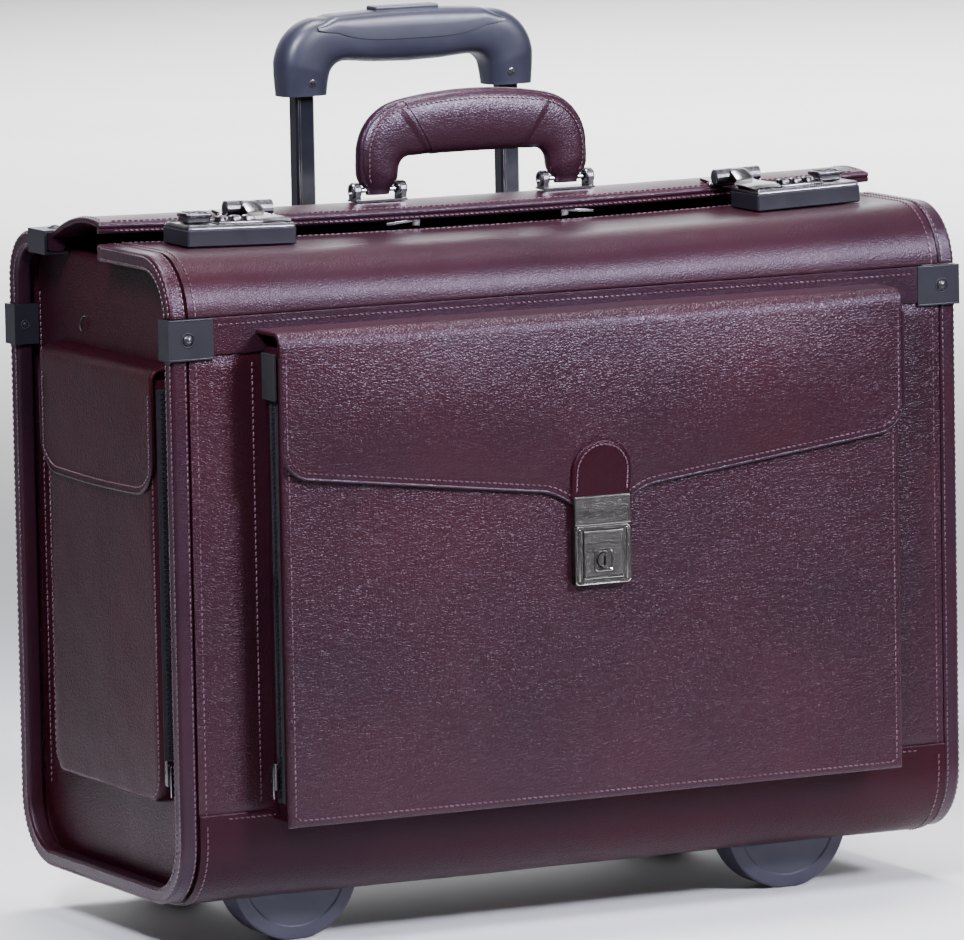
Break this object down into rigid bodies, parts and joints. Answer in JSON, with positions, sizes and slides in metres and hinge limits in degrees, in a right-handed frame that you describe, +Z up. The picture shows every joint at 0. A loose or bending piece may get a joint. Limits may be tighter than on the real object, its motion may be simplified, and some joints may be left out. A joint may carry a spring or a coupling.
{
  "type": "pilot rolling flight case",
  "caption": "Leather-covered rolling flight case with a split lid, carry handle, combination locks, outer pockets, telescopic trolley grip, rear wheels and front feet.",
  "frame": {"origin": "on the ground, below the middle of the object's box", "axes": "+Z up, -Y out of the front pocket, +X along the case towards the right lock"},
  "size_m": [0.4736, 0.2606, 0.484],
  "materials": {
    "leather": "soft grained burgundy leather over a stiff board",
    "lining": "dark lining board",
    "black_plastic": "moulded blue-black plastic",
    "grip_plastic": "moulded charcoal plastic",
    "chrome": "bright plated steel",
    "gunmetal": "dark nickel plate with bright edges",
    "black_tube": "black anodised tube",
    "steel": "plain plated steel",
    "rubber": "hard dark rubber"
  },
  "bodies": {
    "case": {"case_shell": "leather", "left_binding": "leather", "right_binding": "leather", "file_divider": "lining", "front_left_cap": "black_plastic", "front_right_cap": "black_plastic", "rear_left_cap": "black_plastic", "rear_right_cap": "black_plastic", "top_left_cap": "black_plastic", "top_right_cap": "black_plastic", "front_pocket": "leather", "pocket_lock_body": "gunmetal", "left_end_pocket": "leather", "right_end_pocket": "leather", "trolley_housing": "black_plastic", "left_wheel_housing": "black_plastic", "right_wheel_housing": "black_plastic", "left_wheel_axle": "steel", "right_wheel_axle": "steel", "left_front_foot": "rubber", "right_front_foot": "rubber"},
    "front_lid": {"front_lid": "leather", "left_lock_case": "black_plastic", "right_lock_case": "black_plastic", "left_lock_plate": "chrome", "right_lock_plate": "chrome"},
    "rear_flap": {"rear_flap": "leather", "left_handle_bracket": "chrome", "right_handle_bracket": "chrome", "left_hasp_hinge": "chrome", "right_hasp_hinge": "chrome"},
    "carry_handle": {"carry_handle": "leather"},
    "pocket_flap": {"pocket_flap": "leather", "pocket_lock_strike": "gunmetal"},
    "pocket_lock_release": {"pocket_lock_release": "gunmetal"},
    "pocket_lock_cylinder": {"pocket_lock_cylinder": "steel"},
    "trolley_middle": {"left_middle_tube": "black_tube", "right_middle_tube": "black_tube"},
    "trolley_upper": {"left_inner_tube": "black_tube", "right_inner_tube": "black_tube", "trolley_grip": "grip_plastic"},
    "trolley_button": {"trolley_button": "grip_plastic"},
    "left_dial_1": {"left_dial_1": "steel"},
    "left_dial_2": {"left_dial_2": "steel"},
    "left_dial_3": {"left_dial_3": "steel"},
    "left_lock_slider": {"left_lock_slider": "chrome"},
    "left_hasp": {"left_hasp": "chrome"},
    "left_end_flap": {"left_end_flap": "leather"},
    "left_zip_slider": {"left_zip_slider": "steel"},
    "left_end_zip_slider": {"left_end_zip_slider": "steel"},
    "left_wheel": {"left_wheel": "rubber"},
    "right_dial_1": {"right_dial_1": "steel"},
    "right_dial_2": {"right_dial_2": "steel"},
    "right_dial_3": {"right_dial_3": "steel"},
    "right_lock_slider": {"right_lock_slider": "chrome"},
    "right_hasp": {"right_hasp": "chrome"},
    "right_end_flap": {"right_end_flap": "leather"},
    "right_zip_slider": {"right_zip_slider": "steel"},
    "right_end_zip_slider": {"right_end_zip_slider": "steel"},
    "right_wheel": {"right_wheel": "rubber"}
  },
  "joints": [
    {"name": "rear_flap_hinge", "type": "hinge", "parent": "case", "child": "rear_flap", "pos_m": [0, 0.05925, 0.376], "axis": [-1, 0, 0], "range_deg": [0, 52]},
    {"name": "front_lid_hinge", "type": "hinge", "parent": "case", "child": "front_lid", "pos_m": [0, -0.09575, 0.343], "axis": [1, 0, 0], "range_deg": [0, 50]},
    {"name": "carry_handle_hinge", "type": "hinge", "parent": "rear_flap", "child": "carry_handle", "pos_m": [0, 0.02025, 0.3915], "axis": [1, 0, 0], "range_deg": [-75, 75]},
    {"name": "pocket_flap_hinge", "type": "hinge", "parent": "case", "child": "pocket_flap", "pos_m": [0, -0.09655, 0.335], "axis": [1, 0, 0], "range_deg": [-85, 0]},
    {"name": "pocket_lock_press", "type": "slide", "parent": "case", "child": "pocket_lock_release", "axis": [0, 1, 0], "range_m": [0, 0.0012], "stiffness_N_per_m": 600},
    {"name": "pocket_key_turn", "type": "hinge", "parent": "pocket_lock_release", "child": "pocket_lock_cylinder", "pos_m": [0, -0.12875, 0.202], "axis": [0, 1, 0], "range_deg": [0, 90]},
    {"name": "trolley_middle_slide", "type": "slide", "parent": "case", "child": "trolley_middle", "axis": [0, 0, 1], "range_m": [0, 0.22]},
    {"name": "trolley_upper_slide", "type": "slide", "parent": "trolley_middle", "child": "trolley_upper", "axis": [0, 0, 1], "range_m": [-0.058, 0.19]},
    {"name": "trolley_button_press", "type": "slide", "parent": "trolley_upper", "child": "trolley_button", "axis": [0, 0, -1], "range_m": [0, 0.003], "stiffness_N_per_m": 400},
    {"name": "left_dial_1_turn", "type": "hinge", "parent": "front_lid", "child": "left_dial_1", "pos_m": [-0.16159, -0.03675, 0.38106], "axis": [0.9996, 0, -0.0279], "continuous": true},
    {"name": "left_dial_2_turn", "type": "hinge", "parent": "front_lid", "child": "left_dial_2", "pos_m": [-0.16919, -0.03675, 0.38127], "axis": [0.9996, 0, -0.0279], "continuous": true},
    {"name": "left_dial_3_turn", "type": "hinge", "parent": "front_lid", "child": "left_dial_3", "pos_m": [-0.17678, -0.03675, 0.38148], "axis": [0.9996, 0, -0.0279], "continuous": true},
    {"name": "left_lock_slide", "type": "slide", "parent": "front_lid", "child": "left_lock_slider", "axis": [-0.9996, 0, 0.0279], "range_m": [0, 0.0035], "stiffness_N_per_m": 300},
    {"name": "left_hasp_hinge_turn", "type": "hinge", "parent": "rear_flap", "child": "left_hasp", "pos_m": [-0.14785, -0.00775, 0.38938], "axis": [-0.9996, 0, 0.0279], "range_deg": [0, 120]},
    {"name": "left_end_flap_hinge_turn", "type": "hinge", "parent": "case", "child": "left_end_flap", "pos_m": [-0.2226, 0.00925, 0.316], "axis": [0, 1, 0], "range_deg": [0, 100]},
    {"name": "left_zip_slide", "type": "slide", "parent": "case", "child": "left_zip_slider", "axis": [0, 0, 1], "range_m": [0, 0.2]},
    {"name": "left_end_zip_slide", "type": "slide", "parent": "case", "child": "left_end_zip_slider", "axis": [0, 0, 1], "range_m": [0, 0.19]},
    {"name": "left_wheel_spin", "type": "hinge", "parent": "case", "child": "left_wheel", "pos_m": [-0.15, 0.09725, 0.033], "axis": [1, 0, 0], "continuous": true},
    {"name": "right_dial_1_turn", "type": "hinge", "parent": "front_lid", "child": "right_dial_1", "pos_m": [0.16159, -0.03675, 0.38106], "axis": [0.9996, 0, 0.0279], "continuous": true},
    {"name": "right_dial_2_turn", "type": "hinge", "parent": "front_lid", "child": "right_dial_2", "pos_m": [0.16919, -0.03675, 0.38127], "axis": [0.9996, 0, 0.0279], "continuous": true},
    {"name": "right_dial_3_turn", "type": "hinge", "parent": "front_lid", "child": "right_dial_3", "pos_m": [0.17678, -0.03675, 0.38148], "axis": [0.9996, 0, 0.0279], "continuous": true},
    {"name": "right_lock_slide", "type": "slide", "parent": "front_lid", "child": "right_lock_slider", "axis": [0.9996, 0, 0.0279], "range_m": [0, 0.0035], "stiffness_N_per_m": 300},
    {"name": "right_hasp_hinge_turn", "type": "hinge", "parent": "rear_flap", "child": "right_hasp", "pos_m": [0.14785, -0.00775, 0.38938], "axis": [-0.9996, 0, -0.0279], "range_deg": [0, 120]},
    {"name": "right_end_flap_hinge_turn", "type": "hinge", "parent": "case", "child": "right_end_flap", "pos_m": [0.2226, 0.00925, 0.316], "axis": [0, -1, 0], "range_deg": [0, 100]},
    {"name": "right_zip_slide", "type": "slide", "parent": "case", "child": "right_zip_slider", "axis": [0, 0, 1], "range_m": [0, 0.2]},
    {"name": "right_end_zip_slide", "type": "slide", "parent": "case", "child": "right_end_zip_slider", "axis": [0, 0, 1], "range_m": [0, 0.19]},
    {"name": "right_wheel_spin", "type": "hinge", "parent": "case", "child": "right_wheel", "pos_m": [0.15, 0.09725, 0.033], "axis": [1, 0, 0], "continuous": true}
  ],
  "couplings": [
    {"joint": "front_lid_hinge", "follows": "rear_flap_hinge", "ratio": 0.95}
  ]
}
